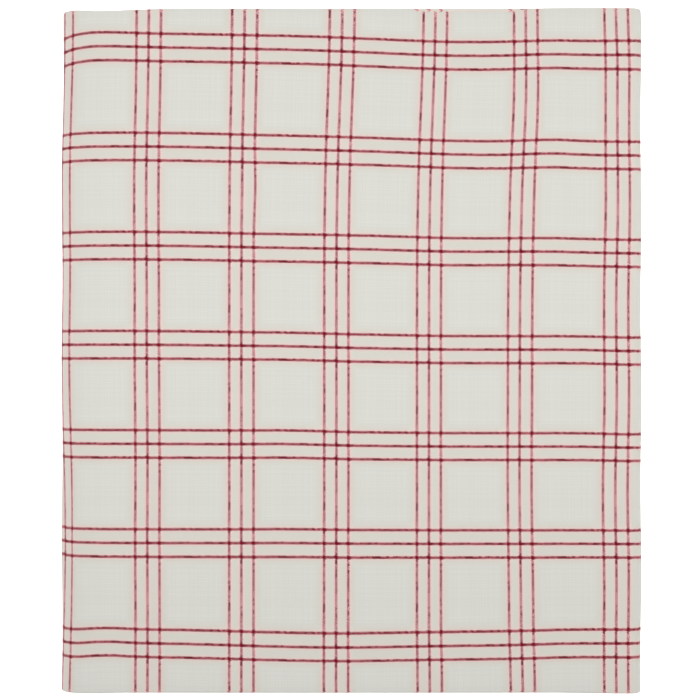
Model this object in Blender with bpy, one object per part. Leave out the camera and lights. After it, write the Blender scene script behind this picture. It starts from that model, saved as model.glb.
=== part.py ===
"""A checked cotton tablecloth, folded away: in half twice across its width, then in half three times along
its length. The four plies of the folded strip lie pressed together as one layer, and the strip runs back and
forth through the eight layers of the pack.

Metres, +Z up. The pack lies on z = 0, with its width along X and its length along Y, centred on the origin.
"""

import math
from collections import namedtuple

import bmesh
import bpy

PACK_WIDTH = 0.3023
PACK_LENGTH = 0.3543
LAYER_THICKNESS = 0.0026  # four plies of cloth with the air between them
LAYER_GAP = 0.0006
LAYER_PITCH = LAYER_THICKNESS + LAYER_GAP

# The strip's eight panels, from the end that lies lowest. Level 0 is the bottom layer and level 7 the top.
# The trims are how far a panel's two long edges stay inside the pack's foot (-Y) and head (+Y).
Panel = namedtuple("Panel", "level foot_trim head_trim")
PANELS = (
    Panel(level=0, foot_trim=0.0004, head_trim=0.0018),
    Panel(level=7, foot_trim=0.0000, head_trim=0.0014),
    Panel(level=4, foot_trim=0.0012, head_trim=0.0012),
    Panel(level=3, foot_trim=0.0007, head_trim=0.0016),
    Panel(level=2, foot_trim=0.0014, head_trim=0.0006),
    Panel(level=5, foot_trim=0.0005, head_trim=0.0014),
    Panel(level=6, foot_trim=0.0011, head_trim=0.0000),
    Panel(level=1, foot_trim=0.0003, head_trim=0.0013),
)

# The fold after each panel. The inset is how far its outer face stays inside the pack's side. The two noses
# are how far its middle surface bulges past the flat of the panel before it and of the panel after it. The
# squareness is 2 for an elliptic bend, and more for one pressed flat with a crisp edge above and below.
Fold = namedtuple("Fold", "side inset nose_before nose_after squareness segments")
LEFT, RIGHT = -1, 1
FOLDS = (
    Fold(side=LEFT, inset=0.0000, nose_before=0.0120, nose_after=0.0280, squareness=2, segments=20),
    Fold(side=RIGHT, inset=0.0000, nose_before=0.0040, nose_after=0.0040, squareness=4, segments=12),
    Fold(side=LEFT, inset=0.0215, nose_before=0.0016, nose_after=0.0016, squareness=2, segments=8),
    Fold(side=RIGHT, inset=0.0014, nose_before=0.0016, nose_after=0.0016, squareness=2, segments=8),
    Fold(side=LEFT, inset=0.0092, nose_before=0.0045, nose_after=0.0180, squareness=2, segments=14),
    Fold(side=RIGHT, inset=0.0038, nose_before=0.0016, nose_after=0.0016, squareness=2, segments=8),
    Fold(side=LEFT, inset=0.0042, nose_before=0.0240, nose_after=0.0085, squareness=2, segments=16),
)
FIRST_HEM_INSET = 0.0030
LAST_HEM_INSET = 0.0010
PANEL_SEGMENTS = 6

# Rounding of the layer's edges at foot and head, and of its two hemmed ends: how far in from the edge, and
# how much of the thickness is reached there.
EdgeStep = namedtuple("EdgeStep", "inward thickness")
EDGE_STEPS = (
    EdgeStep(inward=0.0000, thickness=0.40),
    EdgeStep(inward=0.0003, thickness=0.74),
    EdgeStep(inward=0.0009, thickness=0.94),
    EdgeStep(inward=0.0021, thickness=1.00),
)
MIDDLE_ROWS = 9

# The rounding of the pack's corners as seen from above.
Corner = namedtuple("Corner", "side end radius")
FOOT, HEAD = -1, 1
CORNERS = (
    Corner(side=LEFT, end=FOOT, radius=0.0008),
    Corner(side=RIGHT, end=FOOT, radius=0.0008),
    Corner(side=LEFT, end=HEAD, radius=0.0015),
    Corner(side=RIGHT, end=HEAD, radius=0.0030),
)

# How the soft pack departs from a true block: its corners sink, a slow wave runs over it, and its left side
# draws in towards the head.
CORNER_SAG = 0.0006
WAVE_HEIGHT = 0.0003
WAVE_LENGTH = 0.210
WAVE_SLANT = 0.4
LEFT_TAPER = 0.0009

# Where the layers have slipped along the pack, so that its foot and head edges run a little out or in near
# the corners: how far, and the places in X and Y at which the slip begins and is full.
Slip = namedtuple("Slip", "shift_y start_x full_x start_y full_y")
SLIPS = (
    Slip(shift_y=-0.0020, start_x=-0.115, full_x=-0.152, start_y=-0.110, full_y=-0.150),
    Slip(shift_y=-0.0006, start_x=0.100, full_x=0.148, start_y=-0.110, full_y=-0.170),
    Slip(shift_y=-0.0009, start_x=-0.095, full_x=-0.125, start_y=0.090, full_y=0.177),
    Slip(shift_y=0.0015, start_x=-0.130, full_x=-0.146, start_y=0.090, full_y=0.177),
)

CLOTH_COLOUR = (0.70, 0.69, 0.62, 1.0)
CLOTH_ROUGHNESS = 0.9

# A station of the strip's middle surface: its place in the section, the direction at right angles to it, the
# share of the thickness it keeps, and the panel number it belongs to, running smoothly through the folds.
Station = namedtuple("Station", "x z normal_x normal_z thickness panel")


def clear_scene():
    for scene_object in list(bpy.data.objects):
        bpy.data.objects.remove(scene_object, do_unlink=True)


def ease(value):
    """0 below 0, 1 above 1, and a smooth step between."""
    value = min(max(value, 0.0), 1.0)
    return value * value * (3 - 2 * value)


def layer_height(level):
    """The height of a layer's middle surface."""
    return LAYER_THICKNESS / 2 + level * LAYER_PITCH


def fold_tip(fold):
    """The outermost place that a fold's middle surface reaches."""
    return fold.side * (PACK_WIDTH / 2 - fold.inset - LAYER_THICKNESS / 2)


def hem_stations(tip_x, heading, number):
    """The rounded hemmed end of the strip, which lies at the right, from its tip inwards."""
    z = layer_height(PANELS[number].level)
    return [
        Station(tip_x - step.inward, z, 0.0, heading, step.thickness, number) for step in EDGE_STEPS
    ]


def panel_stations(number, start_x, end_x):
    """The flat stretch of one panel, without its two ends."""
    z = layer_height(PANELS[number].level)
    heading = 1 if end_x > start_x else -1
    stations = []
    for step in range(1, PANEL_SEGMENTS):
        x = start_x + (end_x - start_x) * step / PANEL_SEGMENTS
        stations.append(Station(x, z, 0.0, heading, 1.0, number))
    return stations


def fold_stations(number):
    """The bend that carries the strip from one panel's level to the next one's."""
    fold = FOLDS[number]
    start_z = layer_height(PANELS[number].level)
    end_z = layer_height(PANELS[number + 1].level)
    rise = (end_z - start_z) / 2
    facing = -fold.side * math.copysign(1, rise)
    power = 2 / fold.squareness
    stations = []
    for step in range(fold.segments + 1):
        turn = math.pi * step / fold.segments
        out, up = abs(math.sin(turn)), -math.cos(turn)
        nose = fold.nose_before if up < 0 else fold.nose_after
        slope_x = facing * fold.side * out ** (2 - power) / nose
        slope_z = facing * math.copysign(abs(up) ** (2 - power), up) / rise
        length = math.hypot(slope_x, slope_z)
        stations.append(
            Station(
                x=fold_tip(fold) - fold.side * nose * (1 - out**power),
                z=(start_z + end_z) / 2 + rise * math.copysign(abs(up) ** power, up),
                normal_x=slope_x / length,
                normal_z=slope_z / length,
                thickness=1.0,
                panel=number + step / fold.segments,
            )
        )
    return stations


def strip_stations():
    """The strip's whole way through the pack, from its first hemmed end to its last one."""
    last = len(PANELS) - 1
    first_hem = hem_stations(PACK_WIDTH / 2 - FIRST_HEM_INSET, -1, 0)
    last_hem = hem_stations(PACK_WIDTH / 2 - LAST_HEM_INSET, 1, last)
    starts = [first_hem[-1].x] + [fold_tip(fold) - fold.side * fold.nose_after for fold in FOLDS]
    ends = [fold_tip(fold) - fold.side * fold.nose_before for fold in FOLDS] + [last_hem[-1].x]
    stations = first_hem
    for number in range(len(PANELS)):
        stations += panel_stations(number, starts[number], ends[number])
        if number < last:
            stations += fold_stations(number)
    return stations + last_hem[::-1]


def trimmed(station, name):
    """A trim at this station, passing smoothly from one panel's value to the next one's."""
    before = math.floor(station.panel)
    after = min(before + 1, len(PANELS) - 1)
    share = ease(station.panel - before)
    return getattr(PANELS[before], name) * (1 - share) + getattr(PANELS[after], name) * share


def rows_along(station):
    """The rows of points from foot to head at one station: place along Y and share of the thickness."""
    foot = -PACK_LENGTH / 2 + trimmed(station, "foot_trim")
    head = PACK_LENGTH / 2 - trimmed(station, "head_trim")
    rows = [(foot + step.inward, step.thickness) for step in EDGE_STEPS]
    start, end = rows[-1][0], head - EDGE_STEPS[-1].inward
    for row in range(1, MIDDLE_ROWS + 1):
        rows.append((start + (end - start) * row / (MIDDLE_ROWS + 1), 1.0))
    rows += [(head - step.inward, step.thickness) for step in reversed(EDGE_STEPS)]
    return rows


def rounded(x, y):
    """A point of the sharp-cornered plan, drawn in where it lies in one of the rounded corners."""
    for corner in CORNERS:
        square_x = PACK_WIDTH / 2 - corner.radius
        square_y = PACK_LENGTH / 2 - corner.radius
        across = (corner.side * x - square_x) / corner.radius
        along = (corner.end * y - square_y) / corner.radius
        if across > 0 and along > 0:
            return (
                corner.side * (square_x + corner.radius * across * math.sqrt(1 - along**2 / 2)),
                corner.end * (square_y + corner.radius * along * math.sqrt(1 - across**2 / 2)),
            )
    return x, y


def settled(x, y, z):
    """A point of the true block, moved to where the soft pack has it."""
    height = layer_height(len(PANELS) - 1) + LAYER_THICKNESS / 2
    across, along = 2 * x / PACK_WIDTH, 2 * y / PACK_LENGTH
    sag = CORNER_SAG * across**2 * along**2
    turns = (y + WAVE_SLANT * x) / WAVE_LENGTH
    wave = WAVE_HEIGHT * (1 - math.cos(2 * math.pi * turns)) / 2
    plan_x, plan_y = rounded(x, y)
    for slip in SLIPS:
        share_x = ease((x - slip.start_x) / (slip.full_x - slip.start_x))
        share_y = ease((y - slip.start_y) / (slip.full_y - slip.start_y))
        plan_y += slip.shift_y * share_x * share_y
    return (
        plan_x + LEFT_TAPER * ease(2 * along - 1) * ease(-across),
        plan_y,
        z * (1 - (sag + wave) / height),
    )


def make_tablecloth():
    stations = strip_stations()
    mesh = bmesh.new()
    rings = []
    for row in range(MIDDLE_ROWS + 2 * len(EDGE_STEPS)):
        faces = {1: [], -1: []}
        for station in stations:
            y, thickness = rows_along(station)[row]
            half = LAYER_THICKNESS / 2 * min(thickness, station.thickness)
            for face, points in faces.items():
                x = station.x + face * half * station.normal_x
                z = station.z + face * half * station.normal_z
                points.append(mesh.verts.new(settled(x, y, z)))
        rings.append(faces[1] + faces[-1][::-1])
    count = len(rings[0])
    for near, far in zip(rings, rings[1:]):
        for i in range(count):
            mesh.faces.new((near[i], near[(i + 1) % count], far[(i + 1) % count], far[i]))
    for ring in (rings[0], rings[-1]):
        for i in range(len(stations) - 1):
            mesh.faces.new((ring[i], ring[i + 1], ring[count - 2 - i], ring[count - 1 - i]))
    bmesh.ops.recalc_face_normals(mesh, faces=mesh.faces)
    centre_on_origin(mesh)
    data = bpy.data.meshes.new("tablecloth")
    mesh.to_mesh(data)
    mesh.free()
    data.shade_smooth()
    cloth = bpy.data.objects.new("tablecloth", data)
    bpy.context.scene.collection.objects.link(cloth)
    return cloth


def centre_on_origin(mesh):
    """Stands the pack on z = 0 with the middle of its plan at the origin."""
    xs, ys, zs = zip(*(vertex.co for vertex in mesh.verts))
    shift = (-(min(xs) + max(xs)) / 2, -(min(ys) + max(ys)) / 2, -min(zs))
    bmesh.ops.translate(mesh, vec=shift, verts=mesh.verts)


def cloth_material():
    material = bpy.data.materials.new("woven_cotton")
    material.use_nodes = True
    shader = material.node_tree.nodes["Principled BSDF"]
    shader.inputs["Base Color"].default_value = CLOTH_COLOUR
    shader.inputs["Roughness"].default_value = CLOTH_ROUGHNESS
    shader.inputs["Metallic"].default_value = 0.0
    return material


clear_scene()
tablecloth = make_tablecloth()
tablecloth.data.materials.append(cloth_material())
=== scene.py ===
import math

import bpy
import numpy as np
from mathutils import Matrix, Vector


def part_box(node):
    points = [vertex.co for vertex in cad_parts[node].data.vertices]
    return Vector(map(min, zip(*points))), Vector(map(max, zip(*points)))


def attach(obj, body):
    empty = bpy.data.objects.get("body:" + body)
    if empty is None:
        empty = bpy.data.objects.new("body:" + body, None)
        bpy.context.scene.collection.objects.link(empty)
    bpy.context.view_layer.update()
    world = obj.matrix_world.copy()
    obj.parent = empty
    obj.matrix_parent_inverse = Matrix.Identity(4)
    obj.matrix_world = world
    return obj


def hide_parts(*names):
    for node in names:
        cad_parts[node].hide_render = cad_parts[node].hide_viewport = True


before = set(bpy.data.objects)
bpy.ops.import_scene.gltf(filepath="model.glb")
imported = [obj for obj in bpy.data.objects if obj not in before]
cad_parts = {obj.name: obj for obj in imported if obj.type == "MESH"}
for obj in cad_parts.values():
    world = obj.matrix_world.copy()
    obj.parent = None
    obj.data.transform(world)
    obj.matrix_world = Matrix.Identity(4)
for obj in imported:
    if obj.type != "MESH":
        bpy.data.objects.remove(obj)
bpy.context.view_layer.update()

# ---------------------------------------------------------------------------------------------------------
# The tablecloth: one length of yarn-dyed cotton with a narrow sewn hem, folded in half twice across its
# width and then in half three times along its length, and pressed. It lies flat as a pack of 32 plies.
# ---------------------------------------------------------------------------------------------------------

PACK_WIDTH = 0.3023
PACK_LENGTH = 0.3543
PACK_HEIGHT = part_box("tablecloth")[1][2]
LAYERS = 8
LAYER_PITCH = 0.0032
LAYER_THICKNESS = PACK_HEIGHT - (LAYERS - 1) * LAYER_PITCH
PLIES = 4
PLY_PITCH = 0.00065
PLY_THICKNESS = 0.00045
HEM_THICKNESS = 0.00060
HEM_WIDTH = 0.010

# The panels of the folded strip in their order along the cloth: the layer each lies in, counted from the
# bottom, and how far its edges stay inside the pack's foot (-Y) and head (+Y), in metres.
PANELS = (
    {"level": 0, "foot": 0.0004, "head": 0.0018, "steps": 14},
    {"level": 7, "foot": 0.0000, "head": 0.0006, "steps": 60},
    {"level": 4, "foot": 0.0012, "head": 0.0012, "steps": 12},
    {"level": 3, "foot": 0.0007, "head": 0.0016, "steps": 12},
    {"level": 2, "foot": 0.0014, "head": 0.0006, "steps": 12},
    {"level": 5, "foot": 0.0005, "head": 0.0014, "steps": 12},
    {"level": 6, "foot": 0.0011, "head": 0.0000, "steps": 20},
    {"level": 1, "foot": 0.0003, "head": 0.0013, "steps": 14},
)
# The fold after each panel: its side, how far it stays inside the pack's side, how far it bulges past the
# panels before and after it, and how square its bend is, 2 being an ellipse.
FOLDS = (
    {"side": -1, "inset": 0.0000, "before": 0.0120, "after": 0.0280, "squareness": 2, "steps": 36},
    {"side": 1, "inset": 0.0000, "before": 0.0040, "after": 0.0040, "squareness": 4, "steps": 20},
    {"side": -1, "inset": 0.0215, "before": 0.0016, "after": 0.0016, "squareness": 2, "steps": 8},
    {"side": 1, "inset": 0.0014, "before": 0.0016, "after": 0.0016, "squareness": 2, "steps": 8},
    {"side": -1, "inset": 0.0092, "before": 0.0045, "after": 0.0180, "squareness": 2, "steps": 16},
    {"side": 1, "inset": 0.0038, "before": 0.0016, "after": 0.0016, "squareness": 2, "steps": 8},
    {"side": -1, "inset": 0.0042, "before": 0.0240, "after": 0.0085, "squareness": 2, "steps": 20},
)
# How far the cloth's two short ends, which are hemmed, lie inside the pack's right side.
FIRST_HEM_INSET = 0.0030
LAST_HEM_INSET = 0.0010
# How far the cloth's two long edges lie inside the pack's head, where below 0 is outside it, and how much
# further in than the outer fold the inner one turns at the foot.
FIRST_EDGE_INSET = 0.0004
LAST_EDGE_INSET = -0.0002
INNER_FOLD_INSET = 0.0006
# Counted from 0 along and across the cloth, the top panel and its top ply both come second.
TOP_PANEL = 1
TOP_PLY = 1
# Along one stretch of the head, the upper two plies of the top panel have drawn back from the lower two.
DRAWN_BACK = {"by": 0.0016, "start_x": 0.031, "end_x": 0.090, "run_out": 0.004}
CORNERS = (
    {"side": -1, "end": -1, "radius": 0.0008},
    {"side": 1, "end": -1, "radius": 0.0008},
    {"side": -1, "end": 1, "radius": 0.0020},
    {"side": 1, "end": 1, "radius": 0.0030},
)

# How the soft pack departs from a true block, as the solid that it replaces does, and how far its sides
# wander in and out along their length.
CORNER_SAG = 0.0006
WAVE_HEIGHT = 0.0003
WAVE_LENGTH = 0.210
WAVE_SLANT = 0.4
LEFT_TAPER = 0.0009
WANDER = 0.00025
WANDER_LENGTH = 0.092
WANDER_START = 0.032
WANDER_SLANT = 0.053
# Where the layers have slipped along the pack near its corners: how far, and the places in X and Y at which
# the slip begins and is full.
SLIPS = (
    {"shift_y": -0.0013, "start_x": -0.115, "full_x": -0.152, "start_y": -0.110, "full_y": -0.150},
    {"shift_y": -0.0006, "start_x": 0.100, "full_x": 0.148, "start_y": -0.110, "full_y": -0.170},
    {"shift_y": -0.0009, "start_x": -0.095, "full_x": -0.125, "start_y": 0.090, "full_y": 0.177},
    {"shift_y": 0.0015, "start_x": -0.130, "full_x": -0.146, "start_y": 0.090, "full_y": 0.177},
    {"shift_y": 0.0004, "start_x": 0.095, "full_x": 0.110, "start_y": 0.090, "full_y": 0.177},
)


def ease(value):
    """0 below 0, 1 above 1, and a smooth step between."""
    value = np.clip(value, 0.0, 1.0)
    return value * value * (3 - 2 * value)


def layer_height(level):
    """The height of a layer's middle surface."""
    return LAYER_THICKNESS / 2 + level * LAYER_PITCH


def fold_tip(fold):
    """The outermost place that a fold's middle surface reaches."""
    return fold["side"] * (PACK_WIDTH / 2 - fold["inset"] - LAYER_THICKNESS / 2)


def strip_path():
    """The strip's middle line through the pack, as rows of x, z, the normal's x and z, and panel number."""
    starts = [PACK_WIDTH / 2 - FIRST_HEM_INSET]
    starts += [fold_tip(fold) - fold["side"] * fold["after"] for fold in FOLDS]
    ends = [fold_tip(fold) - fold["side"] * fold["before"] for fold in FOLDS]
    ends += [PACK_WIDTH / 2 - LAST_HEM_INSET]
    rows = []
    for number, (panel, start, end) in enumerate(zip(PANELS, starts, ends)):
        z = layer_height(panel["level"])
        heading = math.copysign(1, end - start)
        for x in np.linspace(start, end, panel["steps"] + 1):
            rows.append((x, z, 0.0, heading, number))
        if number == len(FOLDS):
            break
        fold = FOLDS[number]
        side, power = fold["side"], 2 / fold["squareness"]
        rise = (layer_height(PANELS[number + 1]["level"]) - z) / 2
        facing = -side * math.copysign(1, rise)
        for step in range(1, fold["steps"]):
            turn = math.pi * step / fold["steps"]
            out, up = math.sin(turn), -math.cos(turn)
            nose = fold["before"] if up < 0 else fold["after"]
            slope_x = facing * side * out ** (2 - power) / nose
            slope_z = facing * math.copysign(abs(up) ** (2 - power), up) / rise
            length = math.hypot(slope_x, slope_z)
            rows.append((
                fold_tip(fold) - side * nose * (1 - out**power),
                z + rise + rise * math.copysign(abs(up) ** power, up),
                slope_x / length,
                slope_z / length,
                number + step / fold["steps"],
            ))
    return np.array(rows)


def ply_path():
    """The cloth's way across the strip: four plies, as rows of y, height off the middle and ply number."""
    heights = [(ply - (PLIES - 1) / 2) * PLY_PITCH for ply in range(PLIES)]
    outer = (heights[3] - heights[0] + PLY_THICKNESS) / 2
    inner = (PLY_PITCH + PLY_THICKNESS) / 2
    foot, head = -PACK_LENGTH / 2 + outer, PACK_LENGTH / 2
    runs = (
        {"start": head - FIRST_EDGE_INSET, "end": foot, "height": heights[0], "steps": 14},
        {"start": foot, "end": head - inner, "height": heights[3], "steps": 60},
        {"start": head - inner, "end": foot + INNER_FOLD_INSET, "height": heights[2], "steps": 12},
        {"start": foot + INNER_FOLD_INSET, "end": head - LAST_EDGE_INSET, "height": heights[1], "steps": 12},
    )
    turn_steps = 8
    rows = []
    for number, run in enumerate(runs):
        for y in np.linspace(run["start"], run["end"], run["steps"] + 1):
            rows.append((y, run["height"], number))
        if number == len(runs) - 1:
            break
        rise = (runs[number + 1]["height"] - run["height"]) / 2
        outward = math.copysign(abs(rise), run["end"])
        for step in range(1, turn_steps):
            turn = math.pi * step / turn_steps
            rows.append((
                run["end"] + outward * math.sin(turn),
                run["height"] + rise * (1 - math.cos(turn)),
                number + step / turn_steps,
            ))
    return np.array(rows)


def run_length(first, second):
    """The distance travelled along a path given by two coordinates."""
    return np.concatenate([[0.0], np.cumsum(np.hypot(np.diff(first), np.diff(second)))])


strip = strip_path()
plies = ply_path()
strip_length = run_length(strip[:, 0], strip[:, 1])
ply_length = run_length(plies[:, 0], plies[:, 1])

# Every array below has a row for each place along the strip and a column for each place across it.
panel = strip[:, 4][:, None]
ply = plies[:, 2][None, :]
height = plies[:, 1][None, :]
block_x = strip[:, 0][:, None] + strip[:, 2][:, None] * height
block_z = strip[:, 1][:, None] + strip[:, 3][:, None] * height
block_y = np.broadcast_to(plies[:, 0][None, :], block_x.shape)
foot_trim = np.interp(panel, range(len(PANELS)), [row["foot"] for row in PANELS])
head_trim = np.interp(panel, range(len(PANELS)), [row["head"] for row in PANELS])
upper_plies = ease(2 - 2 * np.abs(panel - TOP_PANEL)) * ease(2 - np.abs(2 * (ply - TOP_PLY) - 1))
drawn_back = ease((block_x - DRAWN_BACK["start_x"]) / DRAWN_BACK["run_out"])
drawn_back = drawn_back * ease((DRAWN_BACK["end_x"] - block_x) / DRAWN_BACK["run_out"])
along = 2 * block_y / PACK_LENGTH
head_shift = (head_trim + DRAWN_BACK["by"] * drawn_back * upper_plies) * ease(along)
block_y = block_y + foot_trim * ease(-along) - head_shift


def rounded(x, y):
    """The sharp-cornered plan, drawn in at its rounded corners."""
    new_x, new_y = x, y
    for corner in CORNERS:
        radius = corner["radius"]
        square_x, square_y = PACK_WIDTH / 2 - radius, PACK_LENGTH / 2 - radius
        across = (corner["side"] * x - square_x) / radius
        along = (corner["end"] * y - square_y) / radius
        inside = (across > 0) & (along > 0)
        round_x = corner["side"] * (square_x + radius * across * np.sqrt(np.clip(1 - along**2 / 2, 0, 1)))
        round_y = corner["end"] * (square_y + radius * along * np.sqrt(np.clip(1 - across**2 / 2, 0, 1)))
        new_x, new_y = np.where(inside, round_x, new_x), np.where(inside, round_y, new_y)
    return new_x, new_y


def slipped(x, y):
    """How far the layers have slipped along the pack."""
    total = np.zeros_like(x)
    for slip in SLIPS:
        share_x = ease((x - slip["start_x"]) / (slip["full_x"] - slip["start_x"]))
        share_y = ease((y - slip["start_y"]) / (slip["full_y"] - slip["start_y"]))
        total += slip["shift_y"] * share_x * share_y
    return total


def settled(x, y, z):
    """The true block's points, moved to where the soft pack has them."""
    across, along = 2 * x / PACK_WIDTH, 2 * y / PACK_LENGTH
    sag = CORNER_SAG * across**2 * along**2
    turns = (y + WAVE_SLANT * x) / WAVE_LENGTH
    wave = WAVE_HEIGHT * (1 - np.cos(2 * np.pi * turns)) / 2
    taper = LEFT_TAPER * ease(2 * along - 1) * ease(-across)
    wander = WANDER * across**3 * np.cos(2 * np.pi * (y - WANDER_START + WANDER_SLANT * x) / WANDER_LENGTH)
    plan_x, plan_y = rounded(x, y)
    return (
        plan_x + taper - wander,
        plan_y + slipped(x, y),
        z * (1 - (sag + wave) / PACK_HEIGHT),
    )


# Like the solid, the pack is centred along its length.
middle = np.stack(settled(block_x, block_y, block_z), axis=-1)
middle[..., 1] -= (middle[..., 1].min() + middle[..., 1].max()) / 2
normal = np.cross(np.gradient(middle, axis=0), np.gradient(middle, axis=1))
normal /= np.linalg.norm(normal, axis=-1, keepdims=True)

CLOTH_LENGTH, CLOTH_WIDTH = strip_length[-1], ply_length[-1]
from_edge = np.minimum(
    np.minimum(strip_length, CLOTH_LENGTH - strip_length)[:, None],
    np.minimum(ply_length, CLOTH_WIDTH - ply_length)[None, :],
)
thickness = np.where(from_edge < HEM_WIDTH, HEM_THICKNESS, PLY_THICKNESS)[..., None]
outer_face = middle + normal * thickness / 2
inner_face = middle - normal * thickness / 2

# The check, counted in yarns: three red lines, each up to two yarns wide, in every repeat. Ends are the
# yarns that run along the pack, and picks those that run across it. They are about twice as coarse as in
# real cloth, whose weave is too fine to show, so that the red lines keep their teeth. Sway is how far a
# yarn swings to a side at each crossing, where the sign says which side comes first, push is how far it is
# pushed off its place by chance, and the reaches are how far the red of a line, the deep red where two
# lines cross and the pink beside a line show from the line's middle, all in yarns.
ENDS_PER_REPEAT = 62
PICKS_PER_REPEAT = 72
REPEAT_ACROSS = 0.04845
REPEAT_ALONG = 0.05120
LINE_ENDS_APART = 8
LINE_PICKS_APART = 10
RED_ENDS_REACH = 0.82
RED_PICKS_REACH = 1.0
DEEP_RED_REACH = 1.25
PINK_REACH = 2.0
# The dye's warm tinge ends so many yarns outside a group's side lines, and fades out over its last few.
WARM_REACH = 7
WARM_FADE = 4
# How high a red yarn's cover lifts it over the yarns it crosses, from its thinnest place to its fullest, and
# how round a yarn is: the share of its place that it fills, and how far its middle stands above its sides.
# Relief is the height that the weave's bumps are given, in metres.
END_COVER = {"thinnest": -0.02, "spread": 2.0}
PICK_COVER = {"thinnest": 1.2, "spread": 1.0}
YARN_FILL = 0.98
YARN_CROWN = 0.6
YARN_RELIEF = 0.00015
YARN_SWAY = -0.22
YARN_PUSH = 0.3

# Where the middle line of one group lies on the top ply, in each direction, before the shifts below.
FIRST_LINE_X = -0.1045
FIRST_LINE_Y = 0.1566

# Folding and pressing pushed the threads of the top ply aside. Its cross threads droop towards the right and
# the head, and the pulls are further shifts, in millimetres, that fade with distance from their centre.
DROOP = {"by": 0.0048, "start_x": -0.115, "full_x": 0.070, "start_y": -0.150, "full_y": 0.130}
PULLS = (
    {"x": 18, "y": 180, "reach_x": 75, "reach_y": 75, "shift_x": 3.8, "shift_y": 0.0},
    {"x": 98, "y": 128, "reach_x": 32, "reach_y": 32, "shift_x": 1.2, "shift_y": 0.0},
    {"x": 136, "y": 85, "reach_x": 16, "reach_y": 40, "shift_x": 0.6, "shift_y": 0.0},
    {"x": 141, "y": 173, "reach_x": 16, "reach_y": 16, "shift_x": -0.8, "shift_y": 0.0},
    {"x": 88, "y": -30, "reach_x": 25, "reach_y": 130, "shift_x": -1.6, "shift_y": 0.0},
    {"x": 120, "y": -80, "reach_x": 28, "reach_y": 35, "shift_x": -0.7, "shift_y": 0.0},
    {"x": 70, "y": -172, "reach_x": 50, "reach_y": 20, "shift_x": 0.6, "shift_y": 0.0},
    {"x": -8, "y": -30, "reach_x": 30, "reach_y": 200, "shift_x": 0.7, "shift_y": 0.0},
    {"x": -105, "y": 80, "reach_x": 22, "reach_y": 90, "shift_x": -0.6, "shift_y": 0.0},
    {"x": -152, "y": 0, "reach_x": 18, "reach_y": 500, "shift_x": 1.0, "shift_y": 0.0},
    {"x": -152, "y": 170, "reach_x": 18, "reach_y": 30, "shift_x": 1.2, "shift_y": 0.0},
    {"x": -151, "y": 0, "reach_x": 3, "reach_y": 500, "shift_x": 0.7, "shift_y": 0.0},
    {"x": -148, "y": 80, "reach_x": 6, "reach_y": 35, "shift_x": 0.5, "shift_y": 0.0},
    {"x": -145, "y": 165, "reach_x": 5, "reach_y": 50, "shift_x": 0.4, "shift_y": 0.0},
    {"x": -149, "y": -100, "reach_x": 5, "reach_y": 45, "shift_x": 3.0, "shift_y": 0.0},
    {"x": -145, "y": -95, "reach_x": 5, "reach_y": 35, "shift_x": 0.9, "shift_y": 0.0},
    {"x": -49, "y": 84, "reach_x": 5, "reach_y": 14, "shift_x": 0.7, "shift_y": 0.0},
    {"x": -135, "y": 165, "reach_x": 25, "reach_y": 25, "shift_x": 0.0, "shift_y": 0.9},
    {"x": -10, "y": 160, "reach_x": 50, "reach_y": 40, "shift_x": 0.0, "shift_y": 0.9},
    {"x": 13, "y": 75, "reach_x": 48, "reach_y": 55, "shift_x": 0.0, "shift_y": 1.1},
    {"x": -33, "y": -45, "reach_x": 25, "reach_y": 60, "shift_x": 0.0, "shift_y": 0.5},
    {"x": 103, "y": 115, "reach_x": 18, "reach_y": 55, "shift_x": 0.0, "shift_y": 1.0},
    {"x": 120, "y": 170, "reach_x": 50, "reach_y": 40, "shift_x": 0.0, "shift_y": 0.8},
    {"x": 145, "y": 168, "reach_x": 15, "reach_y": 20, "shift_x": 0.0, "shift_y": 0.7},
    {"x": 88, "y": 45, "reach_x": 35, "reach_y": 30, "shift_x": 0.0, "shift_y": 0.6},
    {"x": 145, "y": -20, "reach_x": 18, "reach_y": 60, "shift_x": 0.0, "shift_y": -0.7},
    {"x": 80, "y": -155, "reach_x": 35, "reach_y": 30, "shift_x": 0.0, "shift_y": -0.8},
    {"x": -5, "y": -155, "reach_x": 70, "reach_y": 30, "shift_x": 0.0, "shift_y": -2.5},
    {"x": -152, "y": 158, "reach_x": 12, "reach_y": 30, "shift_x": 0.0, "shift_y": -1.2},
    {"x": -128, "y": -155, "reach_x": 12, "reach_y": 30, "shift_x": 0.0, "shift_y": 0.9},
    {"x": -152, "y": -120, "reach_x": 4, "reach_y": 60, "shift_x": 0.0, "shift_y": 0.6},
    {"x": -152, "y": 168, "reach_x": 5, "reach_y": 60, "shift_x": 0.0, "shift_y": -0.8},
    {"x": 0, "y": -152, "reach_x": 400, "reach_y": 30, "shift_x": 0.0, "shift_y": -0.3},
)

drift_x = np.zeros_like(block_x)
drift_y = head_shift - slipped(block_x, block_y) * (block_y > 0)
droop_x = ease((block_x - DROOP["start_x"]) / (DROOP["full_x"] - DROOP["start_x"]))
droop_y = ease((block_y - DROOP["start_y"]) / (DROOP["full_y"] - DROOP["start_y"]))
drift_y -= DROOP["by"] * droop_x * droop_y
for pull in PULLS:
    away_x = (block_x * 1000 - pull["x"]) / pull["reach_x"]
    away_y = (block_y * 1000 - pull["y"]) / pull["reach_y"]
    near = np.exp(-(away_x**2) - away_y**2)
    drift_x += pull["shift_x"] / 1000 * near
    drift_y += pull["shift_y"] / 1000 * near
on_top = ease(2 - 2 * np.abs(panel - TOP_PANEL)) * ease(2 - 2 * np.abs(ply - TOP_PLY))


def length_at(wanted, places, lengths, chosen):
    """The distance travelled along a path when its chosen run passes the wanted place."""
    return np.interp(wanted, places[chosen], lengths[chosen])


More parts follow.
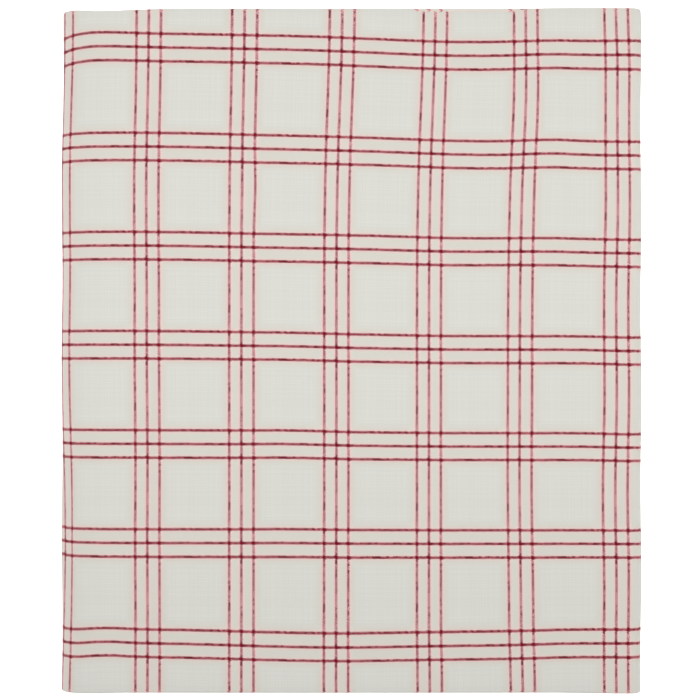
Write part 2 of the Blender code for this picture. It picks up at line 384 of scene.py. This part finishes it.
first_end = length_at(FIRST_LINE_X, strip[:, 0], strip_length, strip[:, 4] == TOP_PANEL)
first_pick = length_at(FIRST_LINE_Y, plies[:, 0], ply_length, plies[:, 2] == TOP_PLY)
cloth_u = strip_length[:, None] - first_end - on_top * drift_x
cloth_v = ply_length[None, :] - first_pick - on_top * drift_y


def closed_sheet(name, outer, inner, u, v, repeat):
    """A closed sheet between two grids of points, with its place in the cloth as UVs."""
    count = u.size
    index = np.arange(count).reshape(u.shape)
    quads = [index[:-1, :-1], index[1:, :-1], index[1:, 1:], index[:-1, 1:]]
    top = np.stack(quads, axis=-1).reshape(-1, 4)
    under = top[:, ::-1] + count
    border = np.concatenate([index[0, :], index[1:, -1], index[-1, -2::-1], index[-2:0:-1, 0]])
    following = np.roll(border, -1)
    rim = np.stack([border, following, following + count, border + count], axis=-1)
    faces = np.concatenate([top, under, rim])
    points = np.concatenate([outer.reshape(-1, 3), inner.reshape(-1, 3)])
    mesh = bpy.data.meshes.new(name)
    mesh.from_pydata(points.tolist(), [], faces.tolist())
    corners = faces.reshape(-1) % count
    place = np.stack([u.reshape(-1)[corners], v.reshape(-1)[corners]], axis=-1)
    mesh.uv_layers.new(name="cloth").data.foreach_set("uv", place.reshape(-1))
    mesh.uv_layers.new(name="OFBake").data.foreach_set("uv", (place / repeat).reshape(-1))
    # The folds are smooth, and only the rim of the sheet is sharp.
    mesh.shade_smooth()
    mesh.set_sharp_from_angle(angle=math.radians(60))
    mesh.validate()
    piece = bpy.data.objects.new(name, mesh)
    bpy.context.scene.collection.objects.link(piece)
    return piece


cloth = closed_sheet(
    "folded_cloth", outer_face, inner_face, cloth_u, cloth_v, np.array([REPEAT_ACROSS, REPEAT_ALONG])
)


def linear(colour):
    """An sRGB hex colour as linear RGBA."""
    channels = [int(colour[i : i + 2], 16) / 255 for i in (1, 3, 5)]
    return [c / 12.92 if c <= 0.04045 else ((c + 0.055) / 1.055) ** 2.4 for c in channels] + [1.0]


def add_node(tree, kind, settings=(), inputs=()):
    """A node with its settings, and its sockets set to values or linked from other sockets."""
    node = tree.nodes.new(kind)
    for name, value in dict(settings).items():
        setattr(node, name, value)
    for key, value in dict(inputs).items():
        if isinstance(value, bpy.types.NodeSocket):
            tree.links.new(value, node.inputs[key])
        else:
            node.inputs[key].default_value = value
    return node


def woven_cotton():
    """Yarn-dyed cotton in plain weave, off-white with a red check."""
    material = bpy.data.materials.new("yarn_dyed_cotton")
    material.use_nodes = True
    tree = material.node_tree
    shader = tree.nodes["Principled BSDF"]
    place = add_node(tree, "ShaderNodeUVMap", {"uv_map": "cloth"})
    split = add_node(tree, "ShaderNodeSeparateXYZ", (), {"Vector": place.outputs["UV"]})
    made = {"u": split.outputs["X"], "v": split.outputs["Y"]}

    # Each step has a name, an operation, and operands that are numbers or the names of earlier steps. Ends
    # and picks are counted from the middle of a group. Where one crosses another, it swings to a side in
    # turn, and is pushed aside a little further at some crossings than at others.
    steps = [
        ("end straight", "MULTIPLY", "u", ENDS_PER_REPEAT / REPEAT_ACROSS),
        ("pick straight", "MULTIPLY", "v", PICKS_PER_REPEAT / REPEAT_ALONG),
        ("end row", "FLOOR", "end straight"),
        ("pick row", "FLOOR", "pick straight"),
        ("end row in repeat", "WRAP", "end row", ENDS_PER_REPEAT, 0.0),
        ("pick row in repeat", "WRAP", "pick row", PICKS_PER_REPEAT, 0.0),
        ("end push", "NOISE", "end row in repeat"),
        ("pick push", "NOISE", "pick row in repeat"),
        ("end turn", "MULTIPLY", "end straight", math.pi),
        ("pick turn", "MULTIPLY", "pick straight", math.pi),
        ("end swing", "SINE", "end turn"),
        ("pick swing", "SINE", "pick turn"),
        ("end swung", "MULTIPLY_ADD", "pick swing", YARN_SWAY, "end straight"),
        ("pick swung", "MULTIPLY_ADD", "end swing", YARN_SWAY, "pick straight"),
        ("end place", "MULTIPLY_ADD", "pick push", YARN_PUSH, "end swung"),
        ("pick place", "MULTIPLY_ADD", "end push", YARN_PUSH, "pick swung"),
    ]
    for yarn, count, apart, reach in (
        ("end", ENDS_PER_REPEAT, LINE_ENDS_APART, RED_ENDS_REACH),
        ("pick", PICKS_PER_REPEAT, LINE_PICKS_APART, RED_PICKS_REACH),
    ):
        steps += [
            (f"{yarn} number", "FLOOR", f"{yarn} place"),
            (f"{yarn} middle", "ADD", f"{yarn} number", 0.5),
            (f"{yarn} in repeat", "WRAP", f"{yarn} middle", count / 2, -count / 2),
            (f"{yarn} place in repeat", "WRAP", f"{yarn} place", count / 2, -count / 2),
            (f"{yarn} from group", "ABSOLUTE", f"{yarn} place in repeat"),
            (f"{yarn} past side line", "SUBTRACT", f"{yarn} from group", apart),
            (f"{yarn} from side line", "ABSOLUTE", f"{yarn} past side line"),
            (f"{yarn} from line", "MINIMUM", f"{yarn} from group", f"{yarn} from side line"),
            (f"{yarn} red", "LESS_THAN", f"{yarn} from line", reach),
            (f"{yarn} deep", "LESS_THAN", f"{yarn} from line", DEEP_RED_REACH),
            (f"{yarn} beside", "LESS_THAN", f"{yarn} from line", PINK_REACH),
            (f"{yarn} to warm edge", "SUBTRACT", apart + WARM_REACH, f"{yarn} from group"),
            (f"{yarn} near group", "DIVIDE", f"{yarn} to warm edge", WARM_FADE),
            (f"{yarn} odd", "PINGPONG", f"{yarn} number", 1.0),
            (f"{yarn} sign", "MULTIPLY_ADD", f"{yarn} odd", -2.0, 1.0),
            (f"{yarn} off middle", "SUBTRACT", f"{yarn} place", f"{yarn} middle"),
            (f"{yarn} off", "MULTIPLY", f"{yarn} off middle", 2 * YARN_FILL),
            (f"{yarn} off squared", "MULTIPLY", f"{yarn} off", f"{yarn} off"),
            (f"{yarn} round squared", "SUBTRACT", 1.0, f"{yarn} off squared"),
            (f"{yarn} round", "SQRT", f"{yarn} round squared"),
            (f"{yarn} tone", "NOISE", f"{yarn} in repeat"),
            (f"{yarn} apart", "DIVIDE", f"{yarn} in repeat", apart),
            (f"{yarn} line", "ROUND", f"{yarn} apart"),
        ]
    # They pass over each other in turn. The red yarns are fuller, and hide more of the white at some
    # crossings than at others. A crossing's number is its yarn's times ten, plus its line's.
    steps += [
        ("end crossing", "MULTIPLY_ADD", "pick in repeat", 10.0, "end line"),
        ("pick crossing", "MULTIPLY_ADD", "end in repeat", 10.0, "pick line"),
        ("end fullness", "NOISE", "end crossing"),
        ("pick fullness", "NOISE", "pick crossing"),
        ("end cover", "MULTIPLY_ADD", "end fullness", END_COVER["spread"], END_COVER["thinnest"]),
        ("pick cover", "MULTIPLY_ADD", "pick fullness", PICK_COVER["spread"], PICK_COVER["thinnest"]),
        ("end wave", "MULTIPLY", "pick swing", "end sign"),
        ("end crown", "MULTIPLY_ADD", "end round", YARN_CROWN, "end wave"),
        ("end height", "MULTIPLY_ADD", "end red", "end cover", "end crown"),
        ("pick against", "MULTIPLY", "end swing", "pick sign"),
        ("pick wave", "MULTIPLY", "pick against", -1.0),
        ("pick crown", "MULTIPLY_ADD", "pick round", YARN_CROWN, "pick wave"),
        ("pick height", "MULTIPLY_ADD", "pick red", "pick cover", "pick crown"),
        ("end on top", "GREATER_THAN", "end height", "pick height"),
        ("pick on top", "SUBTRACT", 1.0, "end on top"),
        ("red end on top", "MULTIPLY", "end red", "end on top"),
        ("red on top", "MULTIPLY_ADD", "pick red", "pick on top", "red end on top"),
        ("red over red", "MULTIPLY", "end deep", "pick deep"),
        ("beside line", "MAXIMUM", "end beside", "pick beside"),
        ("near group", "MAXIMUM", "end near group", "pick near group"),
        ("surface", "MAXIMUM", "end crown", "pick crown"),
    ]
    for name, operation, *operands in steps:
        values = [made.get(operand, operand) for operand in operands]
        if operation == "NOISE":
            node = add_node(tree, "ShaderNodeTexWhiteNoise", {"noise_dimensions": "1D"}, {"W": values[0]})
        else:
            node = add_node(tree, "ShaderNodeMath", {"operation": operation}, dict(enumerate(values)))
        made[name] = node.outputs[0]

    # White yarns differ a little in tone from one to the next, and the red ones from crossing to crossing.
    # Where red crosses red, all is one pure, deep red. The dye has bled: it warms the white between the lines
    # of a group and just outside it, and turns the yarns beside each line pink.
    blends = (
        ("end white", "end tone", linear("#d9d9d2"), linear("#d4d4cd")),
        ("pick white", "pick tone", linear("#d9d9d2"), linear("#d4d4cd")),
        ("white", "end on top", "pick white", "end white"),
        ("warm white", "near group", "white", linear("#d5d1c8")),
        ("ground", "beside line", "warm white", linear("#e6cac4")),
        ("end red yarn", "end fullness", linear("#b23e60"), linear("#5e0a26")),
        ("pick red yarn", "pick fullness", linear("#a83a4e"), linear("#660f20")),
        ("single red", "end on top", "pick red yarn", "end red yarn"),
        ("single cloth", "red on top", "ground", "single red"),
        ("cloth colour", "red over red", "single cloth", linear("#7e001e")),
    )
    # A colour mix has its two colours at sockets 6 and 7, and its result at socket 2.
    for name, share, first, second in blends:
        inputs = {"Factor": made[share], 6: first, 7: second}
        inputs = {key: made[value] if isinstance(value, str) else value for key, value in inputs.items()}
        made[name] = add_node(tree, "ShaderNodeMix", {"data_type": "RGBA"}, inputs).outputs[2]

    relief = add_node(
        tree, "ShaderNodeBump", (), {"Height": made["surface"], "Strength": 0.25, "Distance": YARN_RELIEF}
    )
    tree.links.new(made["cloth colour"], shader.inputs["Base Color"])
    tree.links.new(relief.outputs["Normal"], shader.inputs["Normal"])
    # Cotton is matt, with a faint fuzz of fibre ends.
    shader.inputs["Roughness"].default_value = 0.9
    shader.inputs["Specular IOR Level"].default_value = 0.3
    shader.inputs["Sheen Weight"].default_value = 0.1
    shader.inputs["Sheen Roughness"].default_value = 0.5
    return material


cloth.data.materials.append(woven_cotton())
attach(cloth, "root")
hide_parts("tablecloth")

# ---------------------------------------------------------------------------------------------------------
# The floor: a large sheet of white acrylic with a matt face, lit from behind, which the pack lies on.
# ---------------------------------------------------------------------------------------------------------

FLOOR_SIZE = 6.0
FLOOR_DROP = 0.0001
FLOOR_GLOW = 0.9

half = FLOOR_SIZE / 2
floor_corners = [(-half, -half), (half, -half), (half, half), (-half, half)]
floor_mesh = bpy.data.meshes.new("floor")
floor_mesh.from_pydata([(x, y, -FLOOR_DROP) for x, y in floor_corners], [], [(0, 1, 2, 3)])
floor = bpy.data.objects.new("floor", floor_mesh)
bpy.context.scene.collection.objects.link(floor)
acrylic = bpy.data.materials.new("back_lit_white_acrylic")
acrylic.use_nodes = True
floor_mesh.materials.append(acrylic)
# White, matt, and lit from behind about as brightly as from above, so that no shadow of the pack shows.
floor_shader = acrylic.node_tree.nodes["Principled BSDF"]
floor_shader.inputs["Base Color"].default_value = linear("#ffffff")
floor_shader.inputs["Roughness"].default_value = 0.9
floor_shader.inputs["Emission Color"].default_value = linear("#ffffff")
floor_shader.inputs["Emission Strength"].default_value = FLOOR_GLOW

# ---------------------------------------------------------------------------------------------------------
# The studio: a long softbox above, a little towards the head, with white walls around it, and a camera that
# looks straight down.
# ---------------------------------------------------------------------------------------------------------

SOFTBOX_SIZE = (2.4, 0.3)
SOFTBOX_PLACE = (0.0, 0.075, 0.880)
SOFTBOX_POWER = 14.2
ROOM_BRIGHTNESS = 0.10
CAMERA_HEIGHT = 0.800
CAMERA_X = 0.0
CAMERA_Y = 0.0003
LENS = 79.7
SENSOR_WIDTH = 36.0

room = bpy.data.worlds.new("studio")
room.use_nodes = True
room.node_tree.nodes["Background"].inputs["Color"].default_value = (1.0, 1.0, 1.0, 1.0)
room.node_tree.nodes["Background"].inputs["Strength"].default_value = ROOM_BRIGHTNESS
bpy.context.scene.world = room

lamp_data = bpy.data.lights.new("softbox", "AREA")
lamp_data.shape = "RECTANGLE"
lamp_data.size, lamp_data.size_y = SOFTBOX_SIZE
lamp_data.energy = SOFTBOX_POWER
lamp = bpy.data.objects.new("softbox", lamp_data)
lamp.location = SOFTBOX_PLACE
bpy.context.scene.collection.objects.link(lamp)

camera_data = bpy.data.cameras.new("camera")
camera_data.lens = LENS
camera_data.sensor_width = SENSOR_WIDTH
camera_data.clip_start = 0.01
camera = bpy.data.objects.new("camera", camera_data)
camera.location = (CAMERA_X, CAMERA_Y, PACK_HEIGHT + CAMERA_HEIGHT)
bpy.context.scene.collection.objects.link(camera)
bpy.context.scene.camera = camera
bpy.context.scene.view_settings.view_transform = "Standard"
